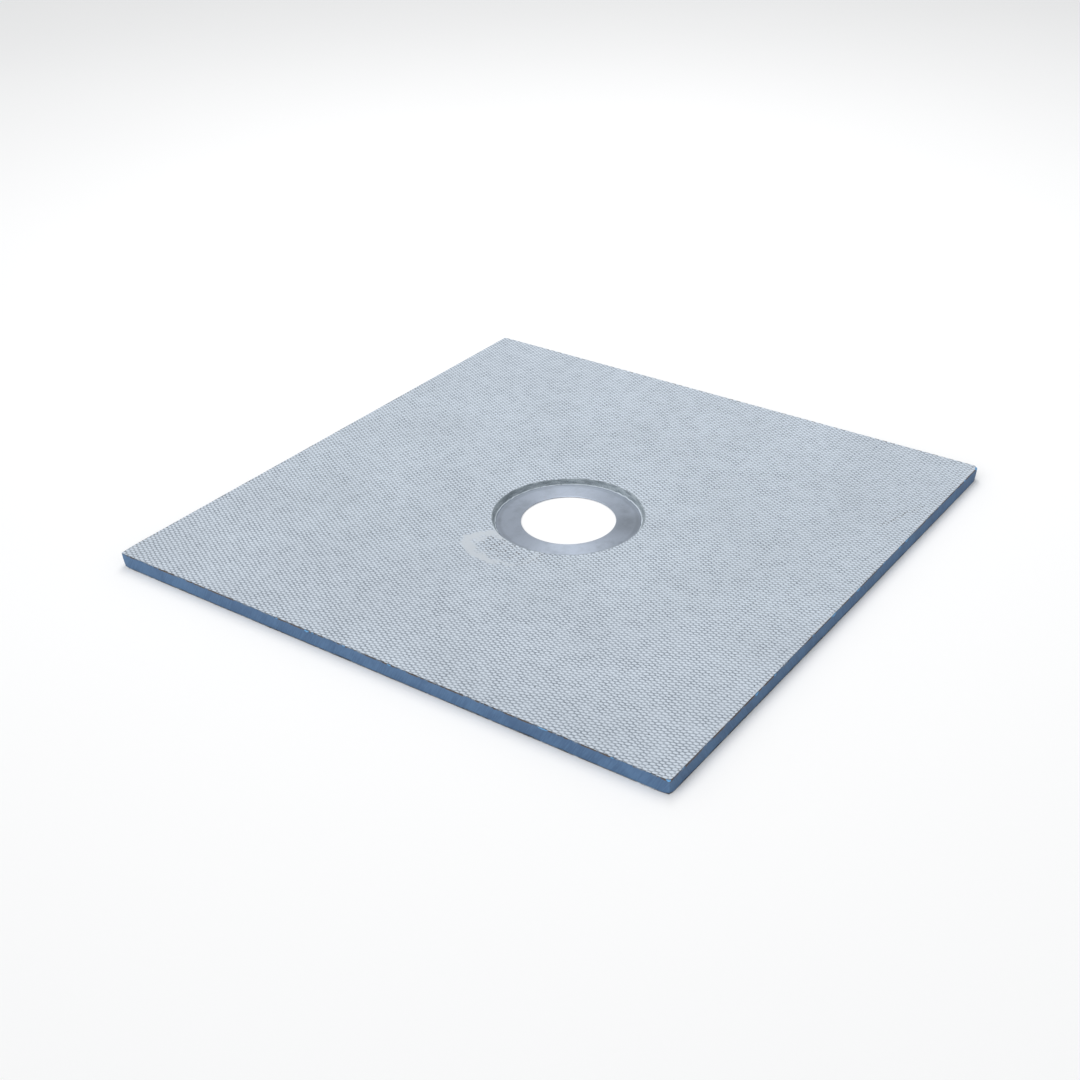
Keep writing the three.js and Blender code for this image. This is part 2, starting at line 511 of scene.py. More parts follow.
class Shell:
    """A mesh put together from rows of points and the faces between them, each with its finish."""

    def __init__(self):
        self.rows = []
        self.faces = []
        self.finish = []
        self.count = 0

    def row(self, points):
        """Adds points and returns the index of the first."""
        first = self.count
        self.rows.append(points)
        self.count += len(points)
        return first

    def fill(self, faces, finish):
        self.faces += [tuple(face) for face in faces]
        self.finish += [finish] * len(faces)

    def relief_object(self, name, comb, finishes, marks=()):
        """The finished object, with the relief's bump count and any marks of its first rows."""
        points = np.concatenate(self.rows)
        stored = np.zeros((len(points), 3 + len(marks)))
        stored[:, :2] = comb.phase(points[:, 0], points[:, 1]).T
        for k, (_, values) in enumerate(marks):
            stored[:len(values), 3 + k] = values
        points, faces, stored = without_loose(points, self.faces, stored)
        piece = mesh_object(name, points, faces, finishes, self.finish)
        store(piece, "cell_phase", "FLOAT_VECTOR", stored[:, :3])
        for k, (label, _) in enumerate(marks):
            store(piece, label, "FLOAT", stored[:, 3 + k])
        return piece


def raised(flat, height):
    """Points of the plane at a height, or at one for each."""
    return np.column_stack((flat, np.broadcast_to(height, len(flat))))


def on_facets(flat, edge_height, fall):
    """Points of the plane, raised to the facets that fall from edge_height."""
    return raised(flat, facet_height(flat[:, 0], flat[:, 1], edge_height, fall))


def full_turn(count):
    """Evenly spaced directions all round."""
    return np.arange(count) * 2 * math.pi / count


def circle(turns, radius):
    return np.column_stack((np.cos(turns) * radius, np.sin(turns) * radius))


# Node wiring
class Signal:
    """An output of a node. Arithmetic with it adds further nodes."""

    def __init__(self, wiring, socket):
        self.wiring = wiring
        self.socket = socket

    def __add__(self, other):
        return self.wiring.calc("ADD", self, other)

    def __sub__(self, other):
        return self.wiring.calc("SUBTRACT", self, other)

    def __rsub__(self, other):
        return self.wiring.calc("SUBTRACT", other, self)

    def __mul__(self, other):
        return self.wiring.calc("MULTIPLY", self, other)

    def __truediv__(self, other):
        return self.wiring.calc("DIVIDE", self, other)

    __radd__ = __add__
    __rmul__ = __mul__


class Wiring:
    """A node tree, with short calls for the nodes that the finishes use."""

    def __init__(self, tree):
        self.tree = tree

    def feed(self, socket, value):
        if isinstance(value, Signal):
            self.tree.links.new(value.socket, socket)
        elif value is not None:
            socket.default_value = value

    def feed_all(self, node, values):
        """Feeds a node's inputs by name, with _ for each space."""
        for name, value in values.items():
            self.feed(node.inputs[name.replace("_", " ")], value)

    def signals(self, outputs):
        return {socket.name: Signal(self, socket) for socket in outputs}

    def node(self, kind, settings=None, output=0, **inputs):
        """Adds a node and returns one of its outputs."""
        made = self.tree.nodes.new(kind)
        for name, value in (settings or {}).items():
            setattr(made, name, value)
        self.feed_all(made, inputs)
        return Signal(self, made.outputs[output])

    def calc(self, operation, first, second=None, clamp=False):
        made = self.tree.nodes.new("ShaderNodeMath")
        made.operation = operation
        made.use_clamp = clamp
        self.feed(made.inputs[0], first)
        self.feed(made.inputs[1], second)
        return Signal(self, made.outputs[0])

    def vector_calc(self, operation, first, second, output=0):
        made = self.tree.nodes.new("ShaderNodeVectorMath")
        made.operation = operation
        self.feed(made.inputs[0], first)
        self.feed(made.inputs[1], second)
        return Signal(self, made.outputs[output])

    def step(self, value, low, high, to_low=0.0, to_high=1.0):
        """A smooth step from to_low at low to to_high at high."""
        return self.node("ShaderNodeMapRange", {"interpolation_type": "SMOOTHSTEP"}, Value=value,
                         From_Min=low, From_Max=high, To_Min=to_low, To_Max=to_high)

    def mix(self, share, first, second, blend="MIX"):
        made = self.tree.nodes.new("ShaderNodeMix")
        made.data_type = "RGBA"
        made.blend_type = blend
        self.feed(made.inputs[0], share)
        for index, value in ((6, first), (7, second)):
            self.feed(made.inputs[index], value if isinstance(value, Signal) else (*value, 1.0))
        return Signal(self, made.outputs[2])

    def shaded(self, base, factor):
        """The colour made darker or paler by a factor."""
        grey = self.node("ShaderNodeCombineColor", Red=factor, Green=factor, Blue=factor)
        return self.mix(1.0, base, grey, "MULTIPLY")

    def noise(self, vector, scale, detail=2.0, roughness=0.5):
        return self.node("ShaderNodeTexNoise", Vector=vector, Scale=scale, Detail=detail,
                         Roughness=roughness)

    def specks(self, vector, scale):
        """Distance from the nearest of the scattered specks, and three uneven numbers of that speck."""
        made = self.tree.nodes.new("ShaderNodeTexVoronoi")
        self.feed_all(made, {"Vector": vector, "Scale": scale})
        found = self.signals(made.outputs)
        return found["Distance"], self.split(found["Color"])

    def place(self):
        """Position on the piece, in millimetres."""
        here = self.node("ShaderNodeTexCoord", output="Object")
        return self.vector_calc("MULTIPLY", here, (1 / MM, 1 / MM, 1 / MM))

    def stored(self, name, output="Fac"):
        return self.node("ShaderNodeAttribute", {"attribute_name": name}, output)

    def split(self, vector):
        """The X, Y and Z of a vector."""
        made = self.tree.nodes.new("ShaderNodeSeparateXYZ")
        self.feed(made.inputs[0], vector)
        return [Signal(self, socket) for socket in made.outputs]

    def near(self, place, centre, full, reach):
        """1 within full of the centre and 0 beyond reach, with an uneven border."""
        away = self.vector_calc("DISTANCE", place, centre, "Value")
        return self.step(away + (self.noise(place, 0.06, 3.0) - 0.5) * reach, reach, full)

    def bump(self, height, distance, strength=1.0, normal=None):
        return self.node("ShaderNodeBump", Height=height, Distance=distance, Strength=strength,
                         Normal=normal)

    def use(self, group, **inputs):
        """A shared effect's outputs, by name."""
        made = self.tree.nodes.new("ShaderNodeGroup")
        made.node_tree = group
        self.feed_all(made, inputs)
        return self.signals(made.outputs)


class Finish(Wiring):
    """A new material and the wiring of its nodes."""

    def __init__(self, name):
        self.material = bpy.data.materials.new(name)
        self.material.use_nodes = True
        super().__init__(self.material.node_tree)

    def made_of(self, **inputs):
        """Feeds the material's shader and returns the material."""
        self.feed_all(self.tree.nodes["Principled BSDF"], inputs)
        return self.material


def node_group(name, inputs, outputs, wire):
    """A shared effect, built once. An input without a value is a vector. wire takes the wiring and
    the inputs, and returns the outputs."""
    if name in bpy.data.node_groups:
        return bpy.data.node_groups[name]
    group = bpy.data.node_groups.new(name, "ShaderNodeTree")
    for label, value in inputs.items():
        kind = "NodeSocketVector" if value is None else "NodeSocketFloat"
        socket = group.interface.new_socket(label, in_out="INPUT", socket_type=kind)
        if value is not None:
            socket.default_value = value
    for label in outputs:
        group.interface.new_socket(label, in_out="OUTPUT", socket_type="NodeSocketFloat")
    wiring = Wiring(group)
    entry = group.nodes.new("NodeGroupInput")
    leave = group.nodes.new("NodeGroupOutput")
    for label, value in zip(outputs, wire(wiring, wiring.signals(entry.outputs))):
        wiring.feed(leave.inputs[label], value)
    return group


# Shared effects
def honeycomb_cells():
    """Bumps and grooves of the pressed relief, from the bump count."""
    def wire(w, given):
        u, v, _ = w.split(given["Phase"])
        weight = given["Sideways Weight"]

        def wave(count):
            return w.calc("COSINE", count * (2 * math.pi))

        waves = (wave(u) + wave(v - u) + wave(v) * weight) / (weight + 2.0)
        uneven = waves + (given["Unevenness"] - 0.5) * 0.3
        return w.step(uneven, -0.42, 0.28), w.step(uneven, -0.06, -0.38)

    return node_group("honeycomb_cells", {"Phase": None, "Sideways Weight": 0.74, "Unevenness": 0.5},
                      ("Dome", "Groove"), wire)


def cement_grain():
    """Cloudy tone, fine sandy height and small open pores of a polymer cement."""
    def wire(w, given):
        place = given["Place"]
        share = given["Pore Share"]
        sand = w.noise(place, given["Sand"], 3.0, 0.65)
        tone = w.noise(place, given["Cloud"], 3.0, 0.55) * 0.6 + sand * 0.4
        distance, numbers = w.specks(place, given["Pores"])
        pores = w.step(distance, 0.22, 0.06) * w.step(numbers[0], share, share + 0.1)
        return tone, sand - pores, pores

    return node_group("cement_grain",
                      {"Place": None, "Cloud": 0.02, "Sand": 1.5, "Pores": 0.25, "Pore Share": 0.6},
                      ("Tone", "Height", "Pores"), wire)


def saw_streaks():
    """Upright streaks and fine closed cells of a cut foam face."""
    def wire(w, given):
        x, y, z = w.split(given["Place"])
        sawn = w.node("ShaderNodeCombineXYZ", X=x - y - z * 0.55, Y=0.0, Z=z * 0.1)
        streak = w.noise(sawn, given["Streaks"], 3.0, 0.6)
        cells = w.noise(given["Place"], given["Cells"], 2.0, 0.7)
        cloud = w.noise(given["Place"], 0.03)
        return streak * 0.55 + cloud * 0.45, streak * 0.6 + cells * 0.4

    return node_group("saw_streaks", {"Place": None, "Streaks": 0.7, "Cells": 2.5},
                      ("Tone", "Height"), wire)


def edge_stains():
    """Stretches of a cut edge that are brown with glue, and others that are greyed by cement."""
    def wire(w, given):
        flat = w.vector_calc("MULTIPLY", given["Place"], (1.0, 1.0, 0.0))
        mirrored = w.vector_calc("MULTIPLY", given["Place"], (-1.0, 1.0, 0.0))
        glue = w.step(w.noise(flat, 0.05, 4.0, 0.66), 0.46, 0.54)
        cement = w.step(w.noise(mirrored, 0.06, 3.0, 0.6), 0.48, 0.56)
        return glue, cement

    return node_group("edge_stains", {"Place": None}, ("Glue", "Cement"), wire)


# Finishes
def cement_relief_finish(name, colours, relief, pale, groove_shade_colour, smeared=False):
    """Pale polymer cement pressed into a honeycomb, with painted shade darkening its grooves."""
    w = Finish(name)
    place = w.place()
    cells = w.use(honeycomb_cells(), Phase=w.stored("cell_phase", "Vector"),
                  Sideways_Weight=relief.sideways_weight, Unevenness=w.noise(place, 0.16))
    grain = w.use(cement_grain(), Place=place, Cloud=0.008, Sand=0.9, Pores=0.12, Pore_Share=0.72)
    groove = cells["Groove"] * w.step(w.noise(place, 0.05, 3.0, 0.6), 0.35, 0.68, 0.7, 1.0)
    dome = cells["Dome"]
    if smeared:
        wiped = w.stored("smear")
        kept = 1.0 - wiped * 0.92
        groove = groove * kept
        dome = dome * kept
    # Painted shade: the grooves between the bumps are mixed towards the darker grey.
    base = w.mix(groove, pale, groove_shade_colour)
    if smeared:
        base = w.mix(wiped * 0.8, base, colours.cement_smear)
        soiled = w.stored("pitted") * w.step(cells["Groove"], 0.3, 0.9)
        base = w.mix(soiled * 0.75, base, srgb(92, 90, 90))
    clouded = w.shaded(base, w.step(grain["Tone"], 0.3, 0.7, 0.94, 1.04))
    holes = grain["Pores"] * (cells["Groove"] * 0.8 + 0.15)
    fine = w.bump(grain["Height"], 0.00012, 0.7)
    return w.made_of(
        Base_Color=w.mix(holes, clouded, srgb(86, 92, 100)),
        Roughness=w.step(grain["Tone"], 0.3, 0.7, 0.78, 0.92),
        Specular_IOR_Level=0.35,
        Normal=w.bump(dome, 0.0006, 1.0, fine),
    )


def recess_wall_finish(colours):
    """Gritty grey cement on the recess wall, darker where it is damp and bare, and with painted shade
    darkening its far-left part.
    """
    w = Finish("recess_wall_cement")
    place = w.place()
    grain = w.use(cement_grain(), Place=place, Cloud=0.03, Sand=0.55, Pores=0.3, Pore_Share=0.55)
    x, y, _ = w.split(place)
    # Painted shade: the far-left part of the wall, turned from the light, is darkened.
    far_left_shade = w.step(y - x, -60.0, 150.0)
    patch = w.noise(w.vector_calc("MULTIPLY", place, (0.05, 0.05, 0.25)), 1.0, 3.0, 0.6)
    dark = w.calc("ADD", w.step(patch, 0.35, 0.65) * 0.55, far_left_shade * 0.35, clamp=True)
    base = w.mix(dark, colours.wall_pale, colours.wall_dark_patches_and_shade)
    grit = w.step(w.noise(place, 1.1, 3.0, 0.7), 0.36, 0.66, 0.68, 1.18)
    pitted = w.mix(grain["Pores"] * 0.8, w.shaded(base, grit), srgb(62, 70, 78))
    distance, numbers = w.specks(place, 0.055)
    fleck = w.step(distance, 0.09, 0.04) * w.step(numbers[1], 0.72, 0.8)
    return w.made_of(Base_Color=w.mix(fleck, pitted, colours.foam_deep), Roughness=0.85,
                     Normal=w.bump(grain["Height"], 0.0006, 0.8))


def bead_finish(colours):
    """Paler cement bead at the foot of the recess wall, with open specks."""
    w = Finish("recess_bead_cement")
    grain = w.use(cement_grain(), Place=w.place(), Cloud=0.05, Sand=0.8, Pores=0.2, Pore_Share=0.62)
    base = w.mix(w.step(grain["Tone"], 0.3, 0.7), colours.wall_pale, colours.cement_pale)
    return w.made_of(Base_Color=w.mix(grain["Pores"], base, srgb(58, 64, 72)), Roughness=0.7,
                     Normal=w.bump(grain["Height"], 0.0003, 0.7))


def facing_edge_finish(name, colours):
    """Cut edge of a facing: cement with brown glue worked into it."""
    w = Finish(name)
    place = w.place()
    grain = w.use(cement_grain(), Place=place, Cloud=0.04, Sand=0.8, Pores=0.5, Pore_Share=0.5)
    stains = w.use(edge_stains(), Place=place)
    cement = w.mix(w.step(grain["Tone"], 0.35, 0.65), colours.cement_grey_and_groove_shade, colours.cement_pale)
    base = w.mix(stains["Glue"] * 0.75, cement, colours.glue)
    return w.made_of(Base_Color=w.mix(grain["Pores"], base, srgb(60, 56, 54)), Roughness=0.9,
                     Normal=w.bump(grain["Height"], 0.0002, 0.8))


def foam_finish(colours):
    """Closed-cell foam: upright cutting streaks, a brown bond line on top, fresh blue in the chips that is
    partly painted highlight, and a painted highlight up the right-hand corners.
    """
    w = Finish("blue_foam_cut")
    place = w.place()
    streaks = w.use(saw_streaks(), Place=place, Streaks=0.55, Cells=1.6)
    stains = w.use(edge_stains(), Place=place)
    # The stored mark brings in chip blue, partly painted highlight, and the painted arris highlight.
    fresh = w.stored("fresh")
    base = w.mix(w.step(streaks["Tone"], 0.36, 0.64), colours.foam_deep, colours.foam)
    ragged = w.stored("top_line") + w.noise(place, 0.5) * 0.7
    line = w.step(ragged, 0.75, 1.05) * w.step(fresh, 0.4, 0.1)
    greyed = w.mix(line * stains["Cement"] * 0.6, base, colours.cement_grey_and_groove_shade)
    brown = w.mix(line * stains["Glue"], greyed, colours.glue)
    return w.made_of(
        Base_Color=w.mix(w.step(fresh, 0.15, 0.6), brown, colours.foam_chip_tone_and_highlight),
        Roughness=w.step(streaks["Tone"], 0.3, 0.7, 0.62, 0.8),
        Specular_IOR_Level=0.4,
        Normal=w.bump(streaks["Height"], 0.00018, 0.7),
    )


# Darker zones of the seat ring, in mm: centre, reach, strength. The wide first one is painted shade over
# the ring's right-hand side, the second a dulled smudge
SMUDGE_AND_SHADE_ZONES = (((84.0, 36.0, 1.4), 46.0, 0.8), ((56.0, 67.0, 1.4), 13.0, 0.45))
SMUDGE_CORE = 2.0


def ring_finish(colours):
    """Hard satin plastic, turned: fine rings round the bore, a few dulled zones, and painted shade over
    its right-hand side.
    """
    w = Finish("seat_ring_satin")
    place = w.place()
    x, y, _ = w.split(place)
    radius = w.calc("SQRT", x * x + y * y)
    turned = w.noise(w.node("ShaderNodeCombineXYZ", X=radius, Y=0.0, Z=0.0), 0.9, 4.0, 0.75)
    cloud = w.noise(place, 0.03, 5.0, 0.68)
    outer_band = w.step(radius, 98.0, 101.0) * w.step(radius, 105.5, 103.0)
    # Painted shade: the wide first zone darkens the ring's right-hand side.
    smudge_and_shade = [w.near(place, centre, SMUDGE_CORE, reach) * strength for centre, reach, strength in SMUDGE_AND_SHADE_ZONES]
    dulled = w.step(cloud, 0.42, 0.7, 0.0, 0.6) + w.calc("MAXIMUM", *smudge_and_shade)
    dull = w.calc("ADD", dulled, outer_band * 0.35, clamp=True)
    base = w.mix(dull, colours.ring, colours.ring_dull_and_shade)
    return w.made_of(
        Base_Color=w.shaded(base, w.step(turned, 0.3, 0.7, 0.95, 1.05)),
        Metallic=0.5,
        Specular_IOR_Level=0.8,
        Roughness=w.step(cloud, 0.3, 0.75, 0.3, 0.44),
        Anisotropic=0.75,
        Anisotropic_Rotation=0.25,
        Tangent=w.node("ShaderNodeTangent", {"direction_type": "RADIAL", "axis": "Z"}),
        Normal=w.bump(turned, 0.00003, 0.6),
    )


def floor_finish(pale):
    """Matt white, very slightly uneven."""
    w = Finish("studio_floor")
    here = w.node("ShaderNodeTexCoord", output="Object")
    tone = w.step(w.noise(here, 0.6), 0.3, 0.7, 0.985, 1.0)
    return w.made_of(Base_Color=w.shaded(pale, tone), Roughness=0.9)


# Operators
def settings():
    return bpy.context.scene.underlay_board


def give(piece, node):
    """The piece stands for its node and rides with the board."""
    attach(piece, "root")
    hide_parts(node)


class BOARD_OT_stage(bpy.types.Operator):
    """Pale floor, soft lights and the camera"""

    bl_idname = "board.stage"
    bl_label = "Stage"

    def execute(self, context):
        stage = settings().stage
        self.make_camera(stage)
        self.make_floor(stage)
        self.make_lights(stage)
        context.scene.view_settings.view_transform = "Standard"
        return {"FINISHED"}

    def make_camera(self, stage):
        lens = bpy.data.cameras.new("camera")
        lens.sensor_width = 36.0
        lens.lens = stage.focal_length
        lens.shift_x = stage.shift_x
        lens.shift_y = stage.shift_y
        lens.clip_end = 50.0
        camera = bpy.data.objects.new("camera", lens)
        back = Vector((math.sin(stage.azimuth) * math.cos(stage.elevation),
                       -math.cos(stage.azimuth) * math.cos(stage.elevation), math.sin(stage.elevation)))
        right = Vector((math.cos(stage.azimuth), math.sin(stage.azimuth), 0.0))
        up = back.cross(right)
        turned_right = right * math.cos(stage.roll) + up * math.sin(stage.roll)
        turned_up = up * math.cos(stage.roll) - right * math.sin(stage.roll)
        facing = Matrix((turned_right, turned_up, back)).transposed().to_4x4()
        camera.matrix_world = Matrix.Translation(Vector(stage.centre) + back * stage.distance) @ facing
        bpy.context.scene.collection.objects.link(camera)
        bpy.context.scene.camera = camera

    def make_floor(self, stage):
        reach = 8.0
        corners = [(-reach, -reach, 0.0), (reach, -reach, 0.0), (reach, reach, 0.0), (-reach, reach, 0.0)]
        floor = mesh_object("studio_floor", corners, [(0, 1, 2, 3)], [floor_finish(stage.floor)])
        floor.location.z = cad_low[2] - 0.0002

    def make_lights(self, stage):
        away = Vector((-math.sin(stage.azimuth), math.cos(stage.azimuth), 0.0))
        strip = bpy.data.lights.new("strip_softbox", "AREA")
        strip.shape = "RECTANGLE"
        strip.size = 1.2
        strip.size_y = 3.0
        strip.energy = stage.strip_power
        self.hang(strip, away * 1.05 + Vector((0.0, 0.0, 2.85)))
        key = bpy.data.lights.new("front_key", "SUN")
        key.energy = stage.key_strength
        key.angle = stage.key_softness
        self.hang(key, Vector((-0.15, -3.06, 2.57)))
        world = bpy.data.worlds.new("studio_world")
        world.use_nodes = True
        backdrop = world.node_tree.nodes["Background"]
        backdrop.inputs["Color"].default_value = (0.98, 0.99, 1.0, 1.0)
        backdrop.inputs["Strength"].default_value = stage.world_strength
        bpy.context.scene.world = world

    def hang(self, lamp, place):
        holder = bpy.data.objects.new(lamp.name, lamp)
        holder.location = place
        holder.rotation_euler = (-place).to_track_quat("-Z", "Y").to_euler()
        bpy.context.scene.collection.objects.link(holder)


class BOARD_OT_foam_core(bpy.types.Operator):
    """Foam core with cut sides, worn corners and chips in its top edge"""

    bl_idname = "board.foam_core"
    bl_label = "Foam Core"

    STEP = 0.0015
    SIDE_SHARES = (0.06, 0.16, 0.3, 0.45, 0.6, 0.72, 0.81, 0.87, 0.92, 0.96)
    CORNER_UNDERCUT = 2.2 * MM
    INNER_ROW = 10 * MM
    LINE_DEEP = 2.8 * MM
    FRESH_FROM = 0.4 * MM

    def execute(self, context):
        outline = Outline(self.STEP, settings().sizes.corner_radius)
        chips = chip_depth(outline.points, 1.3)
        rings = self.rings(outline, chips)
        piece = rings_object("foam_core_cut", rings, foam_finish(settings().colours))
        self.mark(piece, outline, chips, rings)
        give(piece, "foam_core")
        return {"FINISHED"}

    def rings(self, outline, chips):
        """Rows round the core: from its bore out over the underside, up the sides and in to the rim."""
        sizes = settings().sizes
        x, y = outline.points.T
        corner = corner_wear(outline.points)
        waves = 0.06 * MM * (1 + ripple(x, y, 0.03, 3)) + 0.03 * MM * (1 + ripple(x, y, 0.006, 4))
        waves = np.clip(waves, 0, 0.4 * MM) + 0.5 * MM * corner
        undercut = self.CORNER_UNDERCUT * corner
        broken = 0.3 * bottom_break(outline.points, BREAK_SEED)
        bottom_wear = 0.25 * MM + 0.3 * MM * np.clip(ripple(x, y, 0.022, 5), 0, 2) + broken
        side = CORE_EDGE_HEIGHT - CORE_LOW
        turns = np.arctan2(y, x)
        lining = sizes.lining_thickness + sizes.bond_line

        def level(inset, height):
            return raised(outline.pulled_in(inset), height)

        def topmost(inset, drop):
            return on_facets(outline.pulled_in(inset), CORE_EDGE_HEIGHT - drop, sizes.fall_depth)

        rings = [raised(circle(turns, wall_radius(CORE_LOW, sizes, lining)), CORE_LOW),
                 level(self.INNER_ROW, CORE_LOW),
                 level(waves + undercut + 0.9 * MM + bottom_wear, CORE_LOW),
                 level(waves + undercut + 0.3 * bottom_wear, CORE_LOW + 0.5 * MM + 0.4 * broken)]
        for share in self.SIDE_SHARES:
            uneven = waves + 0.05 * MM * (1 + ripple(x + 7 * share, y - 5 * share, 0.012, 6))
            lower = undercut * (1 - share) ** 1.6
            chip = 0.45 * np.clip(chips - side * (1 - share), 0, None)
            rings.append(level(np.maximum(uneven, 0) + lower + chip, CORE_LOW + side * share))
        rings.append(topmost(waves + 0.05 * MM + 0.5 * chips, 0.25 * MM + 0.25 * chips))
        rings.append(topmost(waves + 0.35 * MM + 0.8 * chips, 0.02 * MM))
        rings.append(topmost(self.INNER_ROW, 0.0))
        rim = circle(turns, rim_radius(turns, sizes, CORE_EDGE_HEIGHT, lining))
        rings.append(on_facets(rim, CORE_EDGE_HEIGHT, sizes.fall_depth))
        return rings

    def mark(self, piece, outline, chips, rings):
        """Where the brown line under the facing runs, and where chips show fresh foam, partly painted
        highlight, with a painted highlight along the upright arrises at the right-hand corners.
        """
        x, y = outline.points.T
        below_top = np.maximum(CORE_EDGE_HEIGHT - np.concatenate(rings)[:, 2], 0)
        outside = np.repeat([0] * 2 + [1] * (len(rings) - 4) + [0] * 2, len(x))
        chip_here = np.tile(chips, len(rings))
        deeper = 1 + 0.9 * smoothstep(0.44, 0.449, x) * smoothstep(0.1, -0.45, y)
        deep = np.tile(self.LINE_DEEP * deeper, len(rings))
        store(piece, "top_line", "FLOAT", outside * np.clip(1 - below_top / deep, 0, 1))
        fresh = np.clip(1.2 - below_top / np.maximum(1.4 * chip_here, 0.1 * MM), 0, 1)
        # Painted highlight: a lighter line up the upright arrises at the two right-hand corners.
        to_right_corners = np.hypot(HALF_LENGTH - x, HALF_WIDTH - np.abs(y))
        arris_highlight = 0.22 * np.tile(np.exp(-(to_right_corners / MM) ** 2), len(rings))
        store(piece, "fresh", "FLOAT", outside * np.maximum(fresh * (chip_here > self.FRESH_FROM), arris_highlight))


class BOARD_OT_top_facing(bpy.types.Operator):
    """Top facing with its honeycomb relief, ragged edges and the lining of the recess wall"""

    bl_idname = "board.top_facing"
    bl_label = "Top Facing"

    STEP = 0.0015
    RIM_COUNT = 320
    RIM_FADE = 0.0013
    EDGE_CLEAR = 0.0007

    LINING_SHARES = (0.12, 0.25, 0.38, 0.5, 0.62, 0.74, 0.87, 1.0)

    def execute(self, context):
        sizes = settings().sizes
        relief = settings().relief
        colours = settings().colours
        comb = Honeycomb(relief)
        outline = Outline(self.STEP, 1.0 * MM)
        turns = full_turn(self.RIM_COUNT)
        rim_line = rim_radius(turns, sizes, EDGE_HEIGHT)
        inset = self.edge_inset(outline, comb)
        edge = outline.pulled_in(inset)
        rim = circle(turns, rim_line + self.RIM_FADE)
        shell = Shell()
        top, marks = self.add_relief(shell, outline, comb, edge, rim)
        low_edge, low_start = self.add_cut_edge(shell, outline, inset, top[:len(edge), 2])
        back, back_start = self.add_lining(shell, turns, rim_line, len(edge))
        under = self.flat_underside(outline, low_edge, low_start, back, back_start)
        shell.fill(under[:, ::-1], CUT_EDGE)
        finishes = [
            cement_relief_finish("cement_relief", colours, relief, colours.cement_pale,
                                 colours.cement_grey_and_groove_shade, smeared=True),
            facing_edge_finish("facing_cut_edge", colours),
            recess_wall_finish(colours),
        ]
        piece = shell.relief_object("top_facing_relief", comb, finishes, marks)
        give(piece, "top_facing")
        return {"FINISHED"}

    def edge_inset(self, outline, comb):
        """How far the ragged edge stays inside the outline."""
        x, y = outline.points.T
        between_bumps = 0.5 * MM * (1 - comb.dome(x, y)) + 0.3 * MM * corner_wear(outline.points)
        frayed = 0.13 * MM * np.clip(1 + ripple(x, y, 0.005, 21), 0, 3)
        return 0.08 * MM + between_bumps + frayed + 1.55 * chip_depth(outline.points, 1.5)

    def add_relief(self, shell, outline, comb, edge, rim):
        """The facets with their bumps. Returns the points and the marks that the finish reads."""
        sizes = settings().sizes
        x, y = comb.places(HALF_LENGTH, HALF_WIDTH)
        rim_here = rim_radius(np.arctan2(y, x), sizes, EDGE_HEIGHT)
        clear = np.hypot(x, y) > rim_here + self.RIM_FADE + 0.8 * MM
        clear &= outline.room_inside(edge, x, y) > self.EDGE_CLEAR
        flat, faces = fill_between(edge, rim, np.column_stack((x[clear], y[clear])))
        x, y = flat.T
        wiped, pitted = smear_parts(x, y)
        wiped = np.maximum(wiped, worn_strip(x, y))
        pitted = np.maximum(np.maximum(pitted, scuffed(x, y)), soiled_fringe(x, y))
        bump_size = 0.86 + 0.14 * ripple(x, y, 0.011, 23)
        depth = comb.relief.depth * (1 - comb.dome(x, y)) * bump_size * (1 - 0.9 * wiped)
        depth[len(edge):len(edge) + len(rim)] *= 0.35
        settle = 0.06 * MM * np.clip(1 + ripple(x, y, 0.09, 24), 0, 3)
        top = on_facets(flat, EDGE_HEIGHT, sizes.fall_depth)
        top[:, 2] -= depth + settle
        shell.row(top)
        shell.fill(faces, RELIEF)
        return top, (("smear", wiped), ("pitted", pitted))

    def add_cut_edge(self, shell, outline, inset, top_height):
        """The cut face all round, down to the facing's underside."""
        sizes = settings().sizes
        x, y = outline.points.T
        frayed = np.maximum(inset + 0.05 * MM + 0.12 * MM * ripple(x, y, 0.004, 25), 0.05 * MM)
        low_edge = outline.pulled_in(frayed)
        low = on_facets(low_edge, EDGE_HEIGHT - sizes.facing_thickness, sizes.fall_depth)
        low[:, 2] = np.minimum(low[:, 2], top_height - 0.15 * MM)
        start = shell.row(low)
        shell.fill(band_faces(0, start, len(low)), CUT_EDGE)
        return low_edge, start

    def add_lining(self, shell, turns, rim_line, rim_start):
        """The recess wall from its rim to its foot, and back up behind. Returns the last row."""
        sizes = settings().sizes
        rim_height = facet_height(*circle(turns, rim_line).T, EDGE_HEIGHT, sizes.fall_depth)
        around = turns * sizes.recess_radius
        rows = []
        for out, drop in ((0.55 * MM, 0.06 * MM), (0.12 * MM, 0.35 * MM)):
            spread = rim_line + out + 0.12 * MM * ripple(around, drop * 40, 0.006, 26)
            rows.append(raised(circle(turns, spread), rim_height - drop))
        for share in self.LINING_SHARES:
            down = rim_height + (RING_LOW - rim_height) * share
            rough = 0.16 * MM * ripple(around, down * 1.5, 0.0045, 27)
            rough += 0.12 * MM * ripple(around, down, 0.03, 28)
            spread = wall_radius(down, sizes) + np.maximum(rough, -0.2 * MM) + 0.1 * MM
            rows.append(raised(circle(turns, spread), down))
        rows.append(raised(circle(turns, wall_radius(RING_LOW, sizes, sizes.lining_thickness)), RING_LOW))
        under_height = EDGE_HEIGHT - sizes.facing_thickness
        back = circle(turns, rim_radius(turns, sizes, under_height, sizes.lining_thickness))
        rows.append(on_facets(back, under_height, sizes.fall_depth))
        last = rim_start
        for row in rows:
            start = shell.row(row)
            shell.fill(band_faces(last, start, len(turns)), WALL)
            last = start
        return back, last

